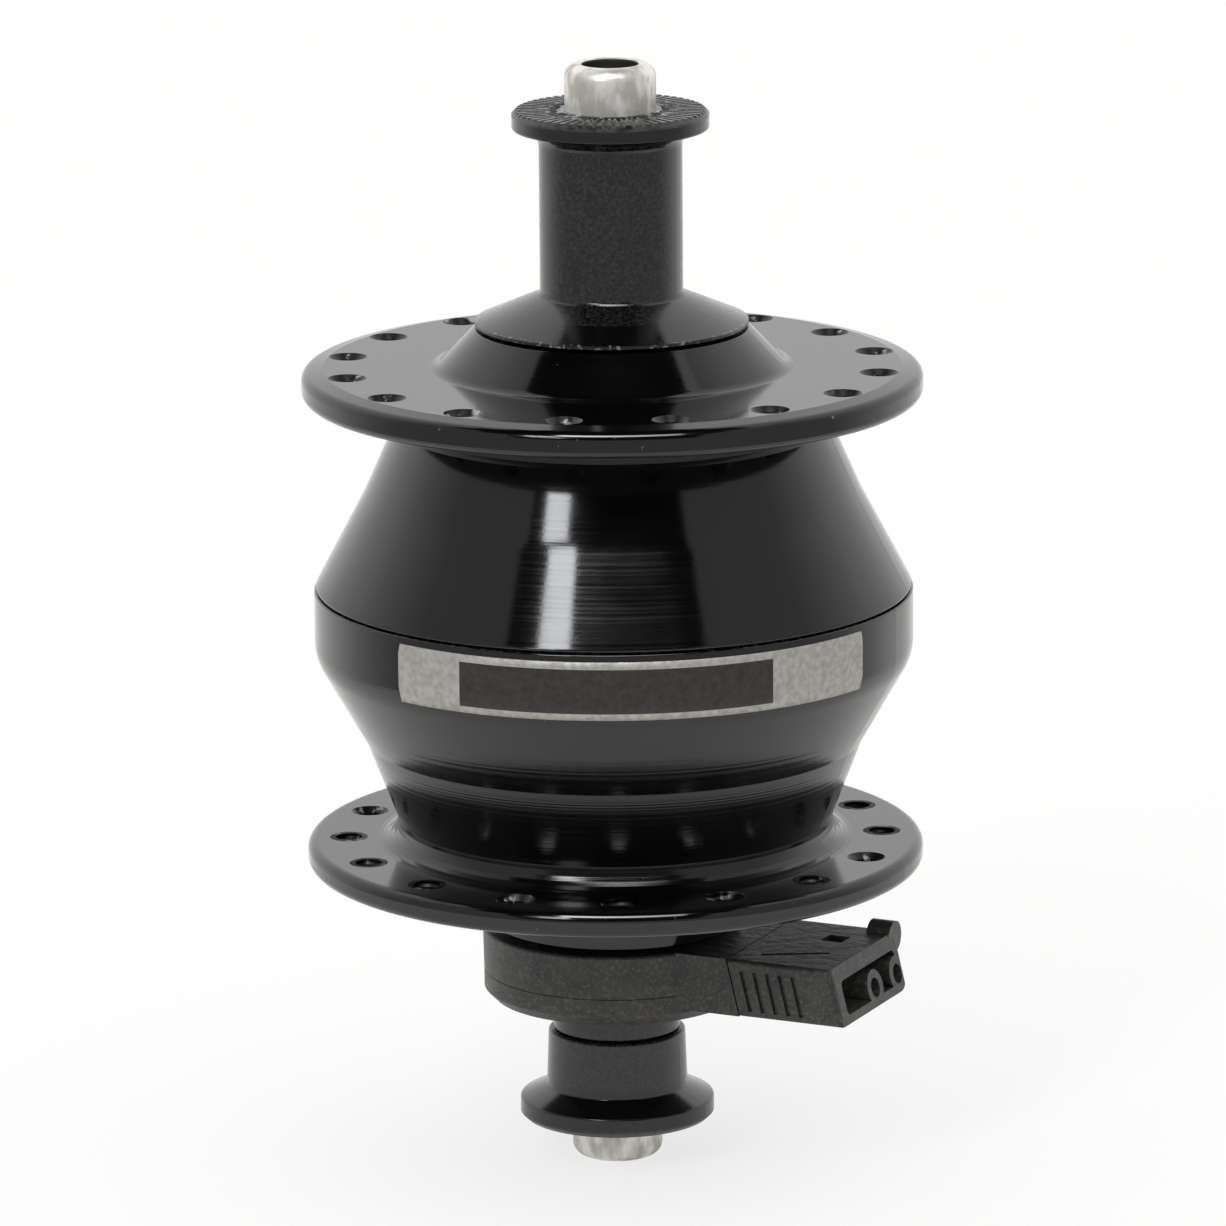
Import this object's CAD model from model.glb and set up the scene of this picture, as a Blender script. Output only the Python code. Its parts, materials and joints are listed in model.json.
# %% [markdown]
# # Dressing a bicycle hub dynamo
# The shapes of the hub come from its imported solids, so this lesson adds what solids cannot hold:
# the black anodised finish, the moulded plastic, the bare axle ends, a label strip, light and a camera.
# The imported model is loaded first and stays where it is, and everything below is placed round it,
# in metres.

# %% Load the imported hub
import json
import math

import bpy
from mathutils import Matrix, Vector


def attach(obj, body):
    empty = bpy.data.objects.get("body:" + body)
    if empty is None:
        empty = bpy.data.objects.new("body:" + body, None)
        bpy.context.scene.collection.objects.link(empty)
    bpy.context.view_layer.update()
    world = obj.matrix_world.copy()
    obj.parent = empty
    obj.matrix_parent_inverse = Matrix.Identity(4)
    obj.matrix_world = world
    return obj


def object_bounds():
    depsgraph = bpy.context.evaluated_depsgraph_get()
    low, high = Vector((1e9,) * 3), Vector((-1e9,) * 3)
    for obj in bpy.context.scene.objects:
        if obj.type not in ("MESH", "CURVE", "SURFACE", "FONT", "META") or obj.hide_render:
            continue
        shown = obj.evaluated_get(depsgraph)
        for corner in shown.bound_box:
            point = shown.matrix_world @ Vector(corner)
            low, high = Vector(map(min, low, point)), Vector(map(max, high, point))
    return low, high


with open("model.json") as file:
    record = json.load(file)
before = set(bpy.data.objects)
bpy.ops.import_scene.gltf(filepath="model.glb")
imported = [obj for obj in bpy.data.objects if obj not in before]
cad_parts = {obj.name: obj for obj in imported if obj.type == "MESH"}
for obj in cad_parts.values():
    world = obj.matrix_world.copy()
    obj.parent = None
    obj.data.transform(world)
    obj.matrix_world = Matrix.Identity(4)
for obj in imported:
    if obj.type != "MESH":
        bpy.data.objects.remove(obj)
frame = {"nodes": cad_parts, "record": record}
cad_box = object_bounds()
nodes = frame["nodes"]
MM = 0.001
print("CAD box", [[round(v, 4) for v in corner] for corner in cad_box])

# %% [markdown]
# ## The camera
# The hub was photographed from slightly above with a long lens, from well under a metre away.
# The angle comes from how wide the two flange ovals look, and the lens from how much the nearer
# one grows. A camera may be turned by hand, but a matrix built from three directions is exact,
# and the small roll of the original view is then one more rotation.

# %% Directions seen from the camera
VIEW_AZIMUTH = math.radians(25)
VIEW_ELEVATION = math.radians(13.35)
VIEW_DISTANCE = 0.87
IMAGE_SIZE = 1226
FOCAL_PIXELS = 8962
SENSOR = 36.0


def direction(azimuth, elevation):
    flat = math.cos(elevation)
    return Vector((math.sin(azimuth) * flat, -math.cos(azimuth) * flat, math.sin(elevation)))


toward_camera = direction(VIEW_AZIMUTH, 0)
camera_right = Vector((math.cos(VIEW_AZIMUTH), math.sin(VIEW_AZIMUTH), 0))
upward = Vector((0, 0, 1))
print("toward the camera", [round(v, 3) for v in toward_camera])

# %% Camera
CAMERA_ROLL = math.radians(0.42)
AIM_RIGHT = -0.09 * MM
AIM_UP = 0.36 * MM
CLIP_START = 0.05

back = direction(VIEW_AZIMUTH, VIEW_ELEVATION)
camera_up = back.cross(camera_right)
turn = Matrix((camera_right, camera_up, back)).transposed().to_4x4()
camera_data = bpy.data.cameras.new("hub_camera")
camera_data.sensor_fit = "HORIZONTAL"
camera_data.sensor_width = SENSOR
camera_data.lens = SENSOR * FOCAL_PIXELS / IMAGE_SIZE
camera_data.clip_start = CLIP_START
camera = bpy.data.objects.new("hub_camera", camera_data)
bpy.context.scene.collection.objects.link(camera)
aim = camera_right * AIM_RIGHT + camera_up * AIM_UP
place = Matrix.Translation(aim + back * VIEW_DISTANCE)
camera.matrix_world = place @ turn @ Matrix.Rotation(-CAMERA_ROLL, 4, "Z")
bpy.context.scene.camera = camera
print("lens", round(camera_data.lens, 1), "mm, camera at", [round(v, 3) for v in camera.location])

# %% [markdown]
# ## Floor and world
# Black gloss shows its surroundings more than itself, so the surroundings are most of the look.
# A pale floor and a white world give the walls their even grey and the flanges their bright rims.
# The floor is an ordinary white surface, so the shadow under the hub stays on it. What the camera
# and mirror-like surfaces see of it is mixed with plain white, as paper lit from below would look.
# Its underside is clear, so that the foot of the hub can be looked at from below.

# %% Helpers for node trees
def new_material(name):
    material = bpy.data.materials.new(name)
    material.use_nodes = True
    return material, material.node_tree, material.node_tree.nodes["Principled BSDF"]


def node(tree, kind, **settings):
    made = tree.nodes.new(kind)
    for key, value in settings.items():
        setattr(made, key, value)
    return made


def plug(tree, socket, value):
    if isinstance(value, bpy.types.NodeSocket):
        tree.links.new(value, socket)
    else:
        socket.default_value = value


def calc(tree, operation, first, second=0.0):
    made = node(tree, "ShaderNodeMath", operation=operation)
    plug(tree, made.inputs[0], first)
    plug(tree, made.inputs[1], second)
    return made.outputs[0]


def spread(tree, value, low, high, start=0.3, end=0.7):
    made = node(tree, "ShaderNodeMapRange")
    plug(tree, made.inputs["Value"], value)
    made.inputs["From Min"].default_value = start
    made.inputs["From Max"].default_value = end
    made.inputs["To Min"].default_value = low
    made.inputs["To Max"].default_value = high
    return made.outputs["Result"]


def object_space(tree):
    return node(tree, "ShaderNodeTexCoord").outputs["Object"]


print("node helpers ready: new_material, node, plug, calc, spread, object_space")

# %% Floor sheet
FLOOR_HALF = 6.0


def flat_mesh(name, points, faces):
    mesh = bpy.data.meshes.new(name)
    mesh.from_pydata(points, [], faces)
    made = bpy.data.objects.new(name, mesh)
    bpy.context.scene.collection.objects.link(made)
    return made


floor_z = cad_box[0][2]
corners = [(-1, -1), (1, -1), (1, 1), (-1, 1)]
floor = flat_mesh(
    "floor", [(x * FLOOR_HALF, y * FLOOR_HALF, floor_z) for x, y in corners], [(0, 1, 2, 3)]
)
print("floor at", round(floor_z, 4))

# %% Floor look
FLOOR_COLOUR = (0.95, 0.935, 0.915, 1)
FLOOR_ROUGH = 0.9
FLOOR_GLOSS = 0.1
FLOOR_GLOW = 0.7
MIRROR_GLOW = 0.3

floor_material, tree, floor_shader = new_material("pale_floor")
floor_shader.inputs["Base Color"].default_value = FLOOR_COLOUR
floor_shader.inputs["Roughness"].default_value = FLOOR_ROUGH
floor_shader.inputs["Specular IOR Level"].default_value = FLOOR_GLOSS
path = node(tree, "ShaderNodeLightPath")
to_camera = calc(tree, "MULTIPLY", path.outputs["Is Camera Ray"], FLOOR_GLOW)
to_mirror = calc(tree, "MULTIPLY", path.outputs["Is Glossy Ray"], MIRROR_GLOW)
glow = node(tree, "ShaderNodeEmission")
mixed = node(tree, "ShaderNodeMixShader")
plug(tree, mixed.inputs["Fac"], calc(tree, "MAXIMUM", to_camera, to_mirror))
tree.links.new(floor_shader.outputs[0], mixed.inputs[1])
tree.links.new(glow.outputs[0], mixed.inputs[2])
from_below = node(tree, "ShaderNodeMixShader")
plug(tree, from_below.inputs["Fac"], node(tree, "ShaderNodeNewGeometry").outputs["Backfacing"])
tree.links.new(mixed.outputs[0], from_below.inputs[1])
tree.links.new(node(tree, "ShaderNodeBsdfTransparent").outputs[0], from_below.inputs[2])
tree.links.new(from_below.outputs[0], tree.nodes["Material Output"].inputs["Surface"])
floor.data.materials.append(floor_material)
print("floor look", floor_material.name, "nodes", len(tree.nodes))

# %% White world
world = bpy.data.worlds.new("white_studio")
bpy.context.scene.world = world
world.use_nodes = True
world.node_tree.nodes["Background"].inputs["Color"].default_value = (1, 1, 1, 1)
world.node_tree.nodes["Background"].inputs["Strength"].default_value = 1.0
bpy.context.scene.view_settings.view_transform = "Standard"
print("world", world.name, "view transform", bpy.context.scene.view_settings.view_transform)

# %% [markdown]
# ## Lamps and dark cloths
# The upward cones of the hub are black in the middle and grey at both sides, with one bright streak
# left of the middle that a bar cuts in two. So the room above and in front of it was dark, the back
# was pale, and a window of two panes stood high on the left. A long lamp overhead, brighter at its
# left end, draws the line on the rounded flange edge. That lamp and the cloths are sheets seen by
# reflections only, so they give the hub no light and take none away. The ceiling widens from the
# back to the front as the black stripe does, and the grey cloth stands round the camera.

# %% Lamps
LAMP_DISTANCE = 1.5
LAMP_COLOUR = (0.94, 0.97, 1.0)
# each pane: degrees right of the camera, degrees above level, width, height, power
LAMPS = {
    "window_low_pane": (-29.0, 31.0, 0.27, 0.262, 2.9),
    "window_high_pane": (-26.3, 42.3, 0.27, 0.194, 2.2),
}
for name, (aside, rise, wide, tall, power) in LAMPS.items():
    lamp_data = bpy.data.lights.new(name, "AREA")
    lamp_data.shape = "RECTANGLE"
    lamp_data.size, lamp_data.size_y = wide, tall
    lamp_data.energy = power
    lamp_data.color = LAMP_COLOUR
    lamp = bpy.data.objects.new(name, lamp_data)
    bpy.context.scene.collection.objects.link(lamp)
    lamp_way = direction(VIEW_AZIMUTH + math.radians(aside), math.radians(rise))
    lamp_turn = lamp_way.to_track_quat("Z", "Y").to_matrix().to_4x4()
    lamp.matrix_world = Matrix.Translation(lamp_way * LAMP_DISTANCE) @ lamp_turn
print("lamps", list(LAMPS))

# %% Dark ceiling
CEILING = 2.0
CLOTH_BLACK = (0.004, 0.004, 0.004, 1)
# each row: how far toward the camera, left edge and right edge, in heights of the ceiling
CEILING_ROWS = [
    (-1.0, -0.2, 0.18),
    (-0.45, -0.22, 0.2),
    (-0.05, -0.65, 0.53),
    (1.05, -1.0, 0.82),
    (2.5, -1.9, 1.6),
    (6.0, -4.2, 3.6),
]


def mirror_only(cloth):
    cloth.visible_camera = False
    cloth.visible_diffuse = False
    cloth.visible_shadow = False


ceiling_points, ceiling_faces = [], []
for forward, left, right in CEILING_ROWS:
    first = len(ceiling_points)
    for side in (left, right):
        ceiling_points.append((toward_camera * forward + camera_right * side + upward) * CEILING)
    if first:
        ceiling_faces.append((first - 2, first - 1, first + 1, first))
ceiling = flat_mesh("dark_ceiling", ceiling_points, ceiling_faces)
ceiling_material, _, ceiling_shader = new_material("dark_cloth")
ceiling_shader.inputs["Base Color"].default_value = CLOTH_BLACK
ceiling_shader.inputs["Specular IOR Level"].default_value = 0.0
ceiling.data.materials.append(ceiling_material)
mirror_only(ceiling)
print("ceiling rows", len(CEILING_ROWS))

# %% Long lamp
LONG_ASIDE, LONG_RISE = math.radians(4), math.radians(56)
LONG_WIDE, LONG_TALL = 0.46, 0.26
LONG_GLOW = (15.0, 5.0)
FIRST_BOUNCE = 1.5

long_way = direction(VIEW_AZIMUTH + LONG_ASIDE, LONG_RISE)
long_points = [(x * LONG_WIDE, y * LONG_TALL, 0) for x, y in corners]
long_lamp = flat_mesh("long_lamp", long_points, [(0, 1, 2, 3)])
long_turn = long_way.to_track_quat("Z", "Y").to_matrix().to_4x4()
long_lamp.matrix_world = Matrix.Translation(long_way * LAMP_DISTANCE) @ long_turn
long_material, tree, _ = new_material("long_lamp_glow")
glow = node(tree, "ShaderNodeEmission")
bounces = node(tree, "ShaderNodeLightPath").outputs["Ray Depth"]
seen = calc(tree, "LESS_THAN", bounces, FIRST_BOUNCE)
across = node(tree, "ShaderNodeSeparateXYZ")
plug(tree, across.inputs[0], object_space(tree))
strength = spread(tree, across.outputs["X"], *LONG_GLOW, -LONG_WIDE, LONG_WIDE)
plug(tree, glow.inputs["Strength"], calc(tree, "MULTIPLY", seen, strength))
tree.links.new(glow.outputs[0], tree.nodes["Material Output"].inputs["Surface"])
long_lamp.data.materials.append(long_material)
mirror_only(long_lamp)
print("long lamp at", [round(v, 2) for v in long_lamp.matrix_world.translation])

# %% Grey cloth round the camera
# each row: distance from the axle and height above the floor
CLOTH_ROWS = [(0.15, 0.003), (13.0, 0.003), (13.0, 20.0)]
CLOTH_REACH = 125
CLOTH_STEP = 5
CLOTH_GREY = 0.5
CLOTH_FADE = (math.radians(85), math.radians(120))

cloth_points, cloth_faces = [], []
angles = range(-CLOTH_REACH, CLOTH_REACH + 1, CLOTH_STEP)
for place, angle in enumerate(angles):
    for reach, rise in CLOTH_ROWS:
        aside = math.radians(angle)
        cloth_points.append((reach * math.sin(aside), reach * math.cos(aside), floor_z + rise))
    if place:
        for row in range(len(CLOTH_ROWS) - 1):
            last = place * len(CLOTH_ROWS) + row
            before = last - len(CLOTH_ROWS)
            cloth_faces.append((before, last, last + 1, before + 1))
cloth = flat_mesh("grey_cloth", cloth_points, cloth_faces)
cloth.matrix_world = Matrix((camera_right, toward_camera, upward)).transposed().to_4x4()
cloth_material, tree, _ = new_material("grey_cloth_glow")
split = node(tree, "ShaderNodeSeparateXYZ")
plug(tree, split.inputs[0], object_space(tree))
swing = calc(tree, "ABSOLUTE", calc(tree, "ARCTAN2", split.outputs["X"], split.outputs["Y"]))
shine = node(tree, "ShaderNodeEmission")
plug(tree, shine.inputs["Strength"], spread(tree, swing, CLOTH_GREY, 1.0, *CLOTH_FADE))
tree.links.new(shine.outputs[0], tree.nodes["Material Output"].inputs["Surface"])
cloth.data.materials.append(cloth_material)
mirror_only(cloth)
print("cloth faces", len(cloth_faces))

# %% [markdown]
# ## Coordinates for turned parts
# Nearly every visible surface of the hub came off a lathe, so its marks run round the axle.
# Texture space made of the distance from the axle and the height along it draws such marks on
# every turned face at once, cones and flats alike, without unwrapping anything.
# Each node's own object space is used, so the marks stay on the metal when the hub spins.

# %% Lathe coordinates
PER_METRE = 1000.0
RADIUS_SHARE = 0.8
MARK_DETAIL = 2.0


def lathe_space(tree):
    split = node(tree, "ShaderNodeSeparateXYZ")
    plug(tree, split.inputs[0], object_space(tree))
    flat = node(tree, "ShaderNodeVectorMath", operation="MULTIPLY")
    plug(tree, flat.inputs[0], object_space(tree))
    flat.inputs[1].default_value = (1, 1, 0)
    length = node(tree, "ShaderNodeVectorMath", operation="LENGTH")
    plug(tree, length.inputs[0], flat.outputs[0])
    radius = calc(tree, "MULTIPLY", length.outputs["Value"], PER_METRE)
    height = calc(tree, "MULTIPLY", split.outputs["Z"], PER_METRE)
    return radius, height


def turning_marks(tree, per_mm):
    radius, height = lathe_space(tree)
    along = calc(tree, "SUBTRACT", height, calc(tree, "MULTIPLY", radius, RADIUS_SHARE))
    noise = node(tree, "ShaderNodeTexNoise", noise_dimensions="1D")
    plug(tree, noise.inputs["W"], along)
    noise.inputs["Scale"].default_value = per_mm
    noise.inputs["Detail"].default_value = MARK_DETAIL
    return noise.outputs["Fac"]


def mottle(tree, per_mm, detail=3.0, stretch=None):
    noise = node(tree, "ShaderNodeTexNoise")
    place = object_space(tree)
    if stretch:
        pulled = node(tree, "ShaderNodeVectorMath", operation="MULTIPLY")
        plug(tree, pulled.inputs[0], place)
        pulled.inputs[1].default_value = stretch
        place = pulled.outputs[0]
    plug(tree, noise.inputs["Vector"], place)
    noise.inputs["Scale"].default_value = per_mm * PER_METRE
    noise.inputs["Detail"].default_value = detail
    return noise.outputs["Fac"]


print("texture helpers work in millimetres round the axle")

# %% [markdown]
# ## Helpers for wear, dust and relief
# Real finishes differ from a flat colour by small things: a spread of tone, dust that settled,
# a relief too fine to model. Each helper below makes one of them, so that a finish further down
# reads as a short list of what one would see with the part in hand.

# %% Blend, relief and specks
def blend(tree, share, first, second):
    made = node(tree, "ShaderNodeMix", data_type="RGBA")
    plug(tree, made.inputs["Factor"], share)
    for socket, colour in ((made.inputs[6], first), (made.inputs[7], second)):
        plug(tree, socket, (*colour, 1) if isinstance(colour, tuple) else colour)
    return made.outputs[2]


def relief(tree, shader, *layers):
    normal = None
    for height, depth_mm in layers:
        bump = node(tree, "ShaderNodeBump")
        plug(tree, bump.inputs["Height"], height)
        bump.inputs["Distance"].default_value = depth_mm * MM
        if normal:
            plug(tree, bump.inputs["Normal"], normal)
        normal = bump.outputs["Normal"]
    plug(tree, shader.inputs["Normal"], normal)


def specks(tree, cell_mm, reach):
    cells = node(tree, "ShaderNodeTexVoronoi")
    plug(tree, cells.inputs["Vector"], object_space(tree))
    cells.inputs["Scale"].default_value = PER_METRE / cell_mm
    return spread(tree, cells.outputs["Distance"], 1.0, 0.0, reach * 0.6, reach)


print("helpers ready: blend, relief, specks")

# %% [markdown]
# ## Black anodised shell
# The shell is turned aluminium, polished and dyed black, so its colour is almost nothing and its
# gloss almost everything. Feed marks of the lathe tool show as fine level lines inside the bright
# streak, handling leaves soft blotches of duller gloss, and the flange rims have lost specks of dye
# to spokes and tools. The seam keeps a broken pale thread of bare edge and dust, and the tool left
# deeper furrows under the belly, which pull every reflection there into upright streaks. The wheel
# that polished the rest could not reach the underside of the upper flange, so that stays dull.
# A photograph could give all that, but noise in lathe space does it from any distance.

# %% Anodised finish
DUST_TONE = (0.2, 0.19, 0.18)
DYED_IOR = 1.55


def anodised(name, dark, dull, shine, matt, grain_mm):
    material, tree, shader = new_material(name)
    blotch = mottle(tree, 0.09)
    marks = turning_marks(tree, 2.4)
    colour = blend(tree, spread(tree, blotch, 0, 1), dark, dull)
    handled = spread(tree, mottle(tree, 0.3), 0, 0.03)
    rough = calc(tree, "ADD", spread(tree, marks, shine, matt), handled)
    settled = spread(tree, mottle(tree, 0.15), 0, 0.8, 0.45, 0.7)
    dust = calc(tree, "MULTIPLY", specks(tree, 2.2, 0.035), settled)
    plug(tree, shader.inputs["Base Color"], blend(tree, dust, colour, DUST_TONE))
    plug(tree, shader.inputs["Roughness"], calc(tree, "ADD", rough, calc(tree, "MULTIPLY", dust, 0.5)))
    shader.inputs["IOR"].default_value = DYED_IOR
    grain = mottle(tree, 4.0, 4.0)
    relief(tree, shader, (marks, 0.0014), (turning_marks(tree, 9.0), 0.0004), (grain, grain_mm))
    return material, tree, shader


def worn_where(tree, shader, share, colour, rough):
    coat = shader.inputs["Base Color"].links[0].from_socket
    gloss = shader.inputs["Roughness"].links[0].from_socket
    plug(tree, shader.inputs["Base Color"], blend(tree, share, coat, colour))
    added = calc(tree, "MULTIPLY", share, rough)
    plug(tree, shader.inputs["Roughness"], calc(tree, "ADD", gloss, added))


print("helpers ready: anodised, worn_where")

# %% Shell finish
shell_dark, shell_dull = (0.0011, 0.0011, 0.0014), (0.0024, 0.0023, 0.0022)
shell_finish, tree, shader = anodised("anodised_shell", shell_dark, shell_dull, 0.065, 0.11, 0.0015)
radius, height = lathe_space(tree)
print("shell finish", shell_finish.name)

# %% Worn rims and seam
RIM_RADIUS = 29.5
SEAM_HEIGHT = 3.2
SEAM_FADE = (0.04, 0.12)
BARE_EDGE = (0.16, 0.16, 0.165)

chips = spread(tree, mottle(tree, 1.3, 4.0), 0, 0.6, 0.7, 0.74)
rim_wear = calc(tree, "MULTIPLY", chips, calc(tree, "GREATER_THAN", radius, RIM_RADIUS))
off_seam = calc(tree, "ABSOLUTE", calc(tree, "SUBTRACT", height, SEAM_HEIGHT))
breaks = spread(tree, mottle(tree, 1.6, 4.0), 0, 1, 0.48, 0.66)
thread = calc(tree, "MULTIPLY", spread(tree, off_seam, 0.3, 0, *SEAM_FADE), breaks)
worn_where(tree, shader, calc(tree, "MAXIMUM", rim_wear, thread), BARE_EDGE, 0.2)
print("worn: rims past", RIM_RADIUS, "mm and the seam at", SEAM_HEIGHT, "mm")

# %% Dull flange and furrowed belly
BELLY_FOOT = (-21.5, -20.0)
BELLY_TOP = (-9.5, -7.5)
UNDERSIDE_FOOT = (20.6, 21.0)
UNDERSIDE_TOP = (22.2, 22.3)
FURROW_DEPTH = 0.012

above_flange = spread(tree, height, 0, 1, *BELLY_FOOT)
low_belly = calc(tree, "MULTIPLY", spread(tree, height, 1, 0, *BELLY_TOP), above_flange)
worn_where(tree, shader, low_belly, shell_dull, 0.06)
below_face = spread(tree, height, 1, 0, *UNDERSIDE_TOP)
under_flange = calc(tree, "MULTIPLY", spread(tree, height, 0, 1, *UNDERSIDE_FOOT), below_face)
worn_where(tree, shader, under_flange, shell_dark, 0.5)
furrows = node(tree, "ShaderNodeBump")
furrows.inputs["Distance"].default_value = FURROW_DEPTH * MM
plug(tree, furrows.inputs["Height"], turning_marks(tree, 5.0))
plug(tree, furrows.inputs["Strength"], low_belly)
plug(tree, furrows.inputs["Normal"], shader.inputs["Normal"].links[0].from_socket)
plug(tree, shader.inputs["Normal"], furrows.outputs["Normal"])
print("furrows", FURROW_DEPTH, "mm deep, shell nodes", len(tree.nodes))

# %% [markdown]
# ## Spoke holes and cap faces
# Holes are drilled after polishing, so their countersinks are duller than the flange, and spokes
# have rubbed some of them bare. Their places follow from the drilling pattern: sixteen on a
# circle, the two flanges half a step apart. The serrated cap faces bite into the fork and have
# turned grey on top, and the rim of the upper cap's cone shows specks of bare metal from fitting.
# A painted texture could hold that, but each place has a radius or a height of its own, and those
# are already at hand.

# %% Dull spoke holes
SPOKE_CIRCLE = 26.0
SPOKE_COUNT = 16
SPOKE_TURN = 3.5 / 22.5  # the first hole, as a share of the step between two holes
SINK_REACH = 1.9
RUBBED_BARE = (0.42, 0.42, 0.42)
FLANGES_FROM = 20.0

split = node(tree, "ShaderNodeSeparateXYZ")
plug(tree, split.inputs[0], object_space(tree))
steps = calc(tree, "ARCTAN2", split.outputs["Y"], split.outputs["X"])
steps = calc(tree, "MULTIPLY", steps, SPOKE_COUNT / (2 * math.pi))
shift = calc(tree, "MULTIPLY", calc(tree, "GREATER_THAN", height, 0.0), 0.5)
steps = calc(tree, "SUBTRACT", steps, calc(tree, "ADD", shift, SPOKE_TURN - 0.5))
aside = calc(tree, "SUBTRACT", calc(tree, "FRACT", steps), 0.5)
offset = node(tree, "ShaderNodeCombineXYZ")
plug(tree, offset.inputs["X"], calc(tree, "MULTIPLY", aside, 2 * math.pi * SPOKE_CIRCLE / SPOKE_COUNT))
plug(tree, offset.inputs["Y"], calc(tree, "SUBTRACT", radius, SPOKE_CIRCLE))
reach = node(tree, "ShaderNodeVectorMath", operation="LENGTH")
plug(tree, reach.inputs[0], offset.outputs[0])
drilled = spread(tree, reach.outputs["Value"], 1, 0, SINK_REACH - 0.05, SINK_REACH)
in_flange = calc(tree, "GREATER_THAN", calc(tree, "ABSOLUTE", height), FLANGES_FROM)
sunk = calc(tree, "MULTIPLY", drilled, in_flange)
worn_where(tree, shader, sunk, shell_dark, 0.22)
rubbed = calc(tree, "MULTIPLY", sunk, spread(tree, mottle(tree, 0.9, 4.0), 0, 0.8, 0.58, 0.66))
worn_where(tree, shader, rubbed, RUBBED_BARE, 0.1)
print("spoke holes dulled:", SPOKE_COUNT, "on each flange")

# %% Cap finish
SERRATED_FROM = 49.4
CONE_RIM = 12.95
TUBES = [(39.4, 8.6), (-41.5, 4.6)]  # middle height and half length
BITE_REACH = 7.6
BITE_FADE = 2.0
GREY_BITE, BARE_BITE = (0.035, 0.034, 0.033), (0.5, 0.5, 0.51)
TUBE_SATIN, BARE_NICK = (0.024, 0.0235, 0.023), (0.2, 0.2, 0.2)
cap_dark, cap_dull = (0.0014, 0.0014, 0.0016), (0.003, 0.0029, 0.0028)
cap_finish, tree, shader = anodised("anodised_cap", cap_dark, cap_dull, 0.1, 0.17, 0.004)
radius, height = lathe_space(tree)
bitten = calc(tree, "GREATER_THAN", calc(tree, "ABSOLUTE", height), SERRATED_FROM)
scuffed = calc(tree, "MULTIPLY", bitten, spread(tree, mottle(tree, 1.2, 4.0), 0.2, 1.0, 0.35, 0.65))
worn_where(tree, shader, scuffed, GREY_BITE, 0.2)
bright = calc(tree, "MULTIPLY", bitten, spread(tree, radius, 1, 0, BITE_REACH - BITE_FADE, BITE_REACH))
bright = calc(tree, "MULTIPLY", bright, spread(tree, mottle(tree, 1.1, 5.0), 0, 0.8, 0.5, 0.64))
worn_where(tree, shader, bright, BARE_BITE, 0.1)
on_tube = 0.0
for middle, reach in TUBES:
    off_middle = calc(tree, "ABSOLUTE", calc(tree, "SUBTRACT", height, middle))
    on_tube = calc(tree, "MAXIMUM", on_tube, calc(tree, "LESS_THAN", off_middle, reach))
satin = calc(tree, "MULTIPLY", on_tube, spread(tree, mottle(tree, 3.0, 4.0), 0, 1, 0.4, 0.75))
worn_where(tree, shader, satin, TUBE_SATIN, 0.12)
nicks = spread(tree, mottle(tree, 1.6, 4.0), 0, 0.8, 0.54, 0.64)
nicked = calc(tree, "MULTIPLY", nicks, calc(tree, "GREATER_THAN", radius, CONE_RIM))
worn_where(tree, shader, nicked, BARE_NICK, 0.2)
print("cap finish", cap_finish.name, "nodes", len(tree.nodes))

# %% [markdown]
# ## Bare metal of the axle
# The axle ends are left bare where the fork clamps them. They are bright turned steel with a pale
# warm smear of grease and grey rub marks, and they mirror the white room in soft bands. A scan of
# steel could be wrapped on, but the noise made for the shell, stretched along the axle, gives the
# smears, and a shader that is mostly metal does the rest. Bearing races are the same, ground finer.

# %% Bare turned steel
def turned_metal(name, clean, smeared, metal, shine, matt, per_mm, depth_mm):
    material, tree, shader = new_material(name)
    smear = mottle(tree, 0.6, 4.0, (1, 1, 0.5))
    marks = turning_marks(tree, per_mm)
    colour = blend(tree, spread(tree, smear, 0, 1, 0.42, 0.62), clean, smeared)
    plug(tree, shader.inputs["Base Color"], colour)
    rough = calc(tree, "ADD", spread(tree, smear, shine, matt), spread(tree, marks, 0, 0.08))
    plug(tree, shader.inputs["Roughness"], rough)
    shader.inputs["Metallic"].default_value = metal
    relief(tree, shader, (marks, depth_mm), (mottle(tree, 4.0), depth_mm / 3))
    return material, tree, shader


BORE_REACH = 2.75
BORE_DIRT = (0.03, 0.028, 0.025)
bare_clean, bare_smeared = (0.83, 0.81, 0.77), (0.5, 0.48, 0.44)
bare_marks = (0.6, 0.26, 0.44, 4.0, 0.002)
bare_finish, tree, shader = turned_metal("bare_axle", bare_clean, bare_smeared, *bare_marks)
radius, _ = lathe_space(tree)
in_bore = spread(tree, radius, 1, 0, BORE_REACH, BORE_REACH + 0.05)
worn_where(tree, shader, in_bore, BORE_DIRT, 0.2)
race_marks = (1.0, 0.12, 0.22, 9.0, 0.0004)
race_finish, _, _ = turned_metal("ground_race", (0.62, 0.63, 0.65), (0.5, 0.51, 0.53), *race_marks)
print("bare metal:", bare_finish.name, race_finish.name)

# %% [markdown]
# ## Moulded connector plastic
# The connector is dark glass-filled plastic with a fine spark-eroded grain from its mould. It is
# duller than the metal, a little warmer, and it holds pale dust in that grain. More dust has settled
# in patches on its upper faces, which the direction of each face picks out. A picture of such a grain
# would blur close up or repeat far off, and noise does neither. Rubber, cages and spool share the
# helper, because they differ in tone and gloss more than in kind.

# %% Moulded plastic and rubber
FACES_UP = 0.7
SETTLED_DUST = (0.042, 0.041, 0.033)
SETTLED_DEPTH = 0.08


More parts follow.
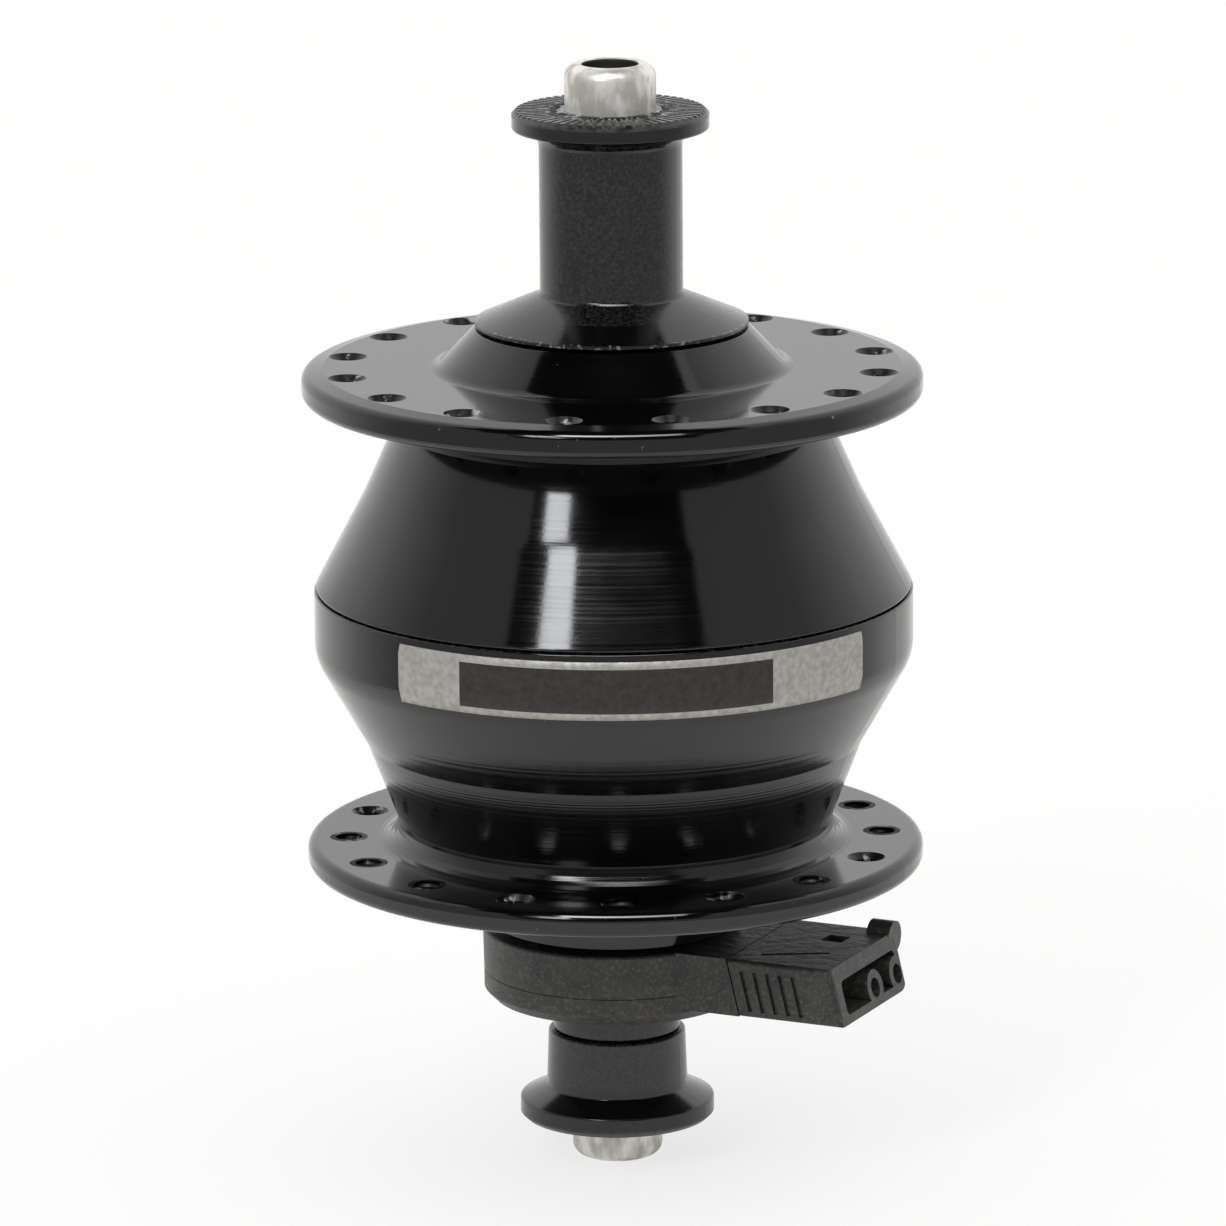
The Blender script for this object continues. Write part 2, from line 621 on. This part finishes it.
def moulded(name, deep, pale, shine, matt, grain_per_mm, grain_mm, settled=0.0):
    material, tree, shader = new_material(name)
    cloud = mottle(tree, 0.5, 4.0)
    grain = mottle(tree, grain_per_mm, 4.0)
    layers = [(grain, grain_mm), (cloud, grain_mm * 4)]
    colour = blend(tree, spread(tree, cloud, 0, 1), deep, pale)
    dust = calc(tree, "MULTIPLY", specks(tree, 0.6, 0.12), spread(tree, cloud, 0.1, 0.6))
    lit = tuple(min(1.0, 0.05 + 2.0 * part) for part in pale)
    flecked = blend(tree, spread(tree, mottle(tree, 2.6, 4.0), 0, 0.45, 0.5, 0.72), colour, lit)
    if settled:
        facing = node(tree, "ShaderNodeSeparateXYZ")
        plug(tree, facing.inputs[0], node(tree, "ShaderNodeTexCoord").outputs["Normal"])
        on_top = calc(tree, "GREATER_THAN", facing.outputs["Z"], FACES_UP)
        drifts = spread(tree, mottle(tree, 0.8, 5.0), 0, settled, 0.35, 0.65)
        patches = calc(tree, "MULTIPLY", on_top, drifts)
        flecked = blend(tree, patches, flecked, SETTLED_DUST)
        layers.append((patches, SETTLED_DEPTH))
    plug(tree, shader.inputs["Base Color"], blend(tree, dust, flecked, lit))
    plug(tree, shader.inputs["Roughness"], spread(tree, grain, shine, matt))
    relief(tree, shader, *layers)
    return material


plastic_deep, plastic_pale = (0.0095, 0.009, 0.0085), (0.029, 0.027, 0.0235)
plastic_finish = moulded("filled_plastic", plastic_deep, plastic_pale, 0.36, 0.52, 5.0, 0.006, 0.6)
rubber_deep, rubber_pale = (0.008, 0.008, 0.008), (0.014, 0.014, 0.0135)
rubber_finish = moulded("moulded_rubber", rubber_deep, rubber_pale, 0.5, 0.7, 7.0, 0.004)
cage_finish = moulded("moulded_cage", (0.5, 0.37, 0.2), (0.58, 0.45, 0.28), 0.35, 0.5, 3.0, 0.003)
bobbin_finish = moulded("moulded_bobbin", (0.68, 0.64, 0.53), (0.78, 0.75, 0.65), 0.35, 0.5, 3.0, 0.003)
moulded_finishes = (plastic_finish, rubber_finish, cage_finish, bobbin_finish)
print("moulded finishes:", [finish.name for finish in moulded_finishes])

# %% [markdown]
# ## Finishes inside the shell
# Nobody sees the generator until the hub is taken apart, but then each piece has to tell what it is.
# Pressed iron is zinc plated with its crystal spangle, magnets are sintered and dark, the winding is
# lacquered copper laid turn by turn, and the leads carry a drawn plastic skin. Every turn of wire could
# be modelled, but a wave along the lathe height shades the same turns and weighs nothing.

# %% Iron, magnets and brass
def plated(name, light, deep, spangle_mm, metal, shine, matt):
    material, tree, shader = new_material(name)
    cells = node(tree, "ShaderNodeTexVoronoi")
    plug(tree, cells.inputs["Vector"], object_space(tree))
    cells.inputs["Scale"].default_value = PER_METRE / spangle_mm
    tone = node(tree, "ShaderNodeRGBToBW")
    plug(tree, tone.inputs[0], cells.outputs["Color"])
    stain = mottle(tree, 0.3)
    shade = calc(tree, "MULTIPLY", tone.outputs[0], spread(tree, stain, 0.5, 1.0))
    plug(tree, shader.inputs["Base Color"], blend(tree, shade, deep, light))
    rough = spread(tree, calc(tree, "ADD", tone.outputs[0], stain), shine, matt, 0.5, 1.4)
    plug(tree, shader.inputs["Roughness"], rough)
    shader.inputs["Metallic"].default_value = metal
    relief(tree, shader, (mottle(tree, 5.0), 0.003))
    return material


iron_finish = plated("zinc_iron", (0.36, 0.36, 0.37), (0.24, 0.24, 0.25), 1.6, 1.0, 0.3, 0.5)
magnet_finish = plated("sintered_magnet", (0.16, 0.16, 0.17), (0.09, 0.09, 0.095), 0.25, 0.6, 0.4, 0.6)
brass_finish = plated("plated_brass", (0.78, 0.58, 0.26), (0.62, 0.44, 0.17), 0.8, 1.0, 0.2, 0.35)
print("plated finishes:", iron_finish.name, magnet_finish.name, brass_finish.name)

# %% Copper winding and lead wires
TURN_PITCH = 0.5

copper_finish, tree, shader = new_material("wound_copper")
radius, height = lathe_space(tree)
layers = calc(tree, "MULTIPLY", calc(tree, "ADD", height, radius), 2 * math.pi / TURN_PITCH)
turns = calc(tree, "SINE", layers)
lacquer = spread(tree, mottle(tree, 0.8), 0.6, 1.0)
shade = calc(tree, "MULTIPLY", spread(tree, turns, 0.2, 1.0, -1.0, 0.6), lacquer)
plug(tree, shader.inputs["Base Color"], blend(tree, shade, (0.2, 0.06, 0.02), (0.62, 0.25, 0.1)))
plug(tree, shader.inputs["Roughness"], spread(tree, mottle(tree, 2.0), 0.18, 0.32))
shader.inputs["Metallic"].default_value = 0.9
relief(tree, shader, (turns, 0.08))

lead_finish, tree, shader = new_material("drawn_insulation")
streak = mottle(tree, 1.5, 4.0)
skin = blend(tree, spread(tree, streak, 0, 1), (0.3, 0.03, 0.025), (0.45, 0.06, 0.045))
plug(tree, shader.inputs["Base Color"], skin)
plug(tree, shader.inputs["Roughness"], spread(tree, streak, 0.28, 0.42))
relief(tree, shader, (mottle(tree, 4.0), 0.004))
print("wound finishes:", copper_finish.name, lead_finish.name)

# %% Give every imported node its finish
finish_of = {
    "black_alloy": shell_finish,
    "cap_alloy": cap_finish,
    "bare_metal": bare_finish,
    "bearing_steel": race_finish,
    "connector_plastic": plastic_finish,
    "seal_rubber": rubber_finish,
    "cage_plastic": cage_finish,
    "bobbin_plastic": bobbin_finish,
    "core_iron": iron_finish,
    "magnet": magnet_finish,
    "contact_brass": brass_finish,
    "copper": copper_finish,
    "wire_insulation": lead_finish,
}
for part in frame["record"]["subparts"]:
    packed = nodes[part["node"]]
    packed.data.materials.clear()
    packed.data.materials.append(finish_of[part["material_slot"]])

# %% [markdown]
# ## Label strip on the belly
# A thin printed strip runs round the front of the widest band and just over the edge below it.
# Its layout is plain: a dark field, two pale border lines and a pale panel at each end. It could be
# a picture wrapped round the band, but that would need unwrapping and would blur close up.
# One grid that follows the band's outline carries it, with a column of faces for every degree or so
# and rows placed on the border lines, so the two inks are two materials and need no picture.

# %% Outline of the band
BAND_RADIUS = 29.05
BAND_CORNER = -1.862
BAND_ROUNDING = 5.0
STRIP_LIFT = 0.05
STRIP_ROWS = [2.5, 2.46, 1.75, 1.0, 0.2, -0.6, -1.4, -2.0, -2.55, -3.2, -3.24]
STRIP_ENDS = (-45.3, -30.2, 31.0, 55.0)  # degrees: left panel, field, right panel, end
STRIP_STEP = 1.0
END_CHAMFER = 1.7


def band_radius(height_mm):
    drop = min(0.0, height_mm - BAND_CORNER)
    return BAND_RADIUS - BAND_ROUNDING + math.sqrt(BAND_ROUNDING ** 2 - drop ** 2)


print("band radius at the strip's foot", round(band_radius(STRIP_ROWS[-1]), 2), "mm")

# %% Strip mesh
def strip_columns():
    columns = []
    for start, end in zip(STRIP_ENDS, STRIP_ENDS[1:]):
        count = max(2, round((end - start) / STRIP_STEP))
        columns += [start + (end - start) * i / count for i in range(count)]
    return columns + [STRIP_ENDS[-1]]


columns = strip_columns()
points, faces, inks = [], [], []
last_row = len(STRIP_ROWS) - 1
for place, angle in enumerate(columns):
    at_end = place in (0, len(columns) - 1)
    way = toward_camera * math.cos(math.radians(angle)) + camera_right * math.sin(math.radians(angle))
    for row, row_height in enumerate(STRIP_ROWS):
        lift = -STRIP_LIFT if row in (0, last_row) or at_end else STRIP_LIFT
        if at_end:
            row_height = max(STRIP_ROWS[-1] + END_CHAMFER, min(STRIP_ROWS[0] - END_CHAMFER, row_height))
        points.append((way * (band_radius(row_height) + lift) + upward * row_height) * MM)
for place in range(len(columns) - 1):
    middle = (columns[place] + columns[place + 1]) / 2
    in_panel = middle < STRIP_ENDS[1] or middle > STRIP_ENDS[2]
    for row in range(last_row):
        first = place * len(STRIP_ROWS) + row
        faces.append((first, first + 1, first + 1 + len(STRIP_ROWS), first + len(STRIP_ROWS)))
        in_border = row <= 1 or row >= last_row - 2
        inks.append(1 if in_panel or in_border else 0)
strip = flat_mesh("label_strip", points, faces)
strip.data.polygons.foreach_set("material_index", inks)
strip.data.polygons.foreach_set("use_smooth", [True] * len(faces))
strip.data.update()
print("label strip", len(points), "points", len(faces), "faces")

# %% Strip inks
def ink(name, fresh, worn, rough, metal):
    material, tree, shader = new_material(name)
    rub = mottle(tree, 1.6, 5.0)
    colour = blend(tree, spread(tree, rub, 0, 1, 0.35, 0.68), fresh, worn)
    plug(tree, shader.inputs["Base Color"], colour)
    plug(tree, shader.inputs["Roughness"], spread(tree, rub, rough, rough + 0.15))
    shader.inputs["Metallic"].default_value = metal
    relief(tree, shader, (mottle(tree, 5.0), 0.002))
    return material


strip.data.materials.append(ink("strip_dark", (0.012, 0.0105, 0.0095), (0.024, 0.021, 0.019), 0.3, 0.0))
strip.data.materials.append(ink("strip_pale", (0.36, 0.345, 0.32), (0.25, 0.24, 0.225), 0.4, 0.3))
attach(strip, "shell")
print("strip rides on the shell")
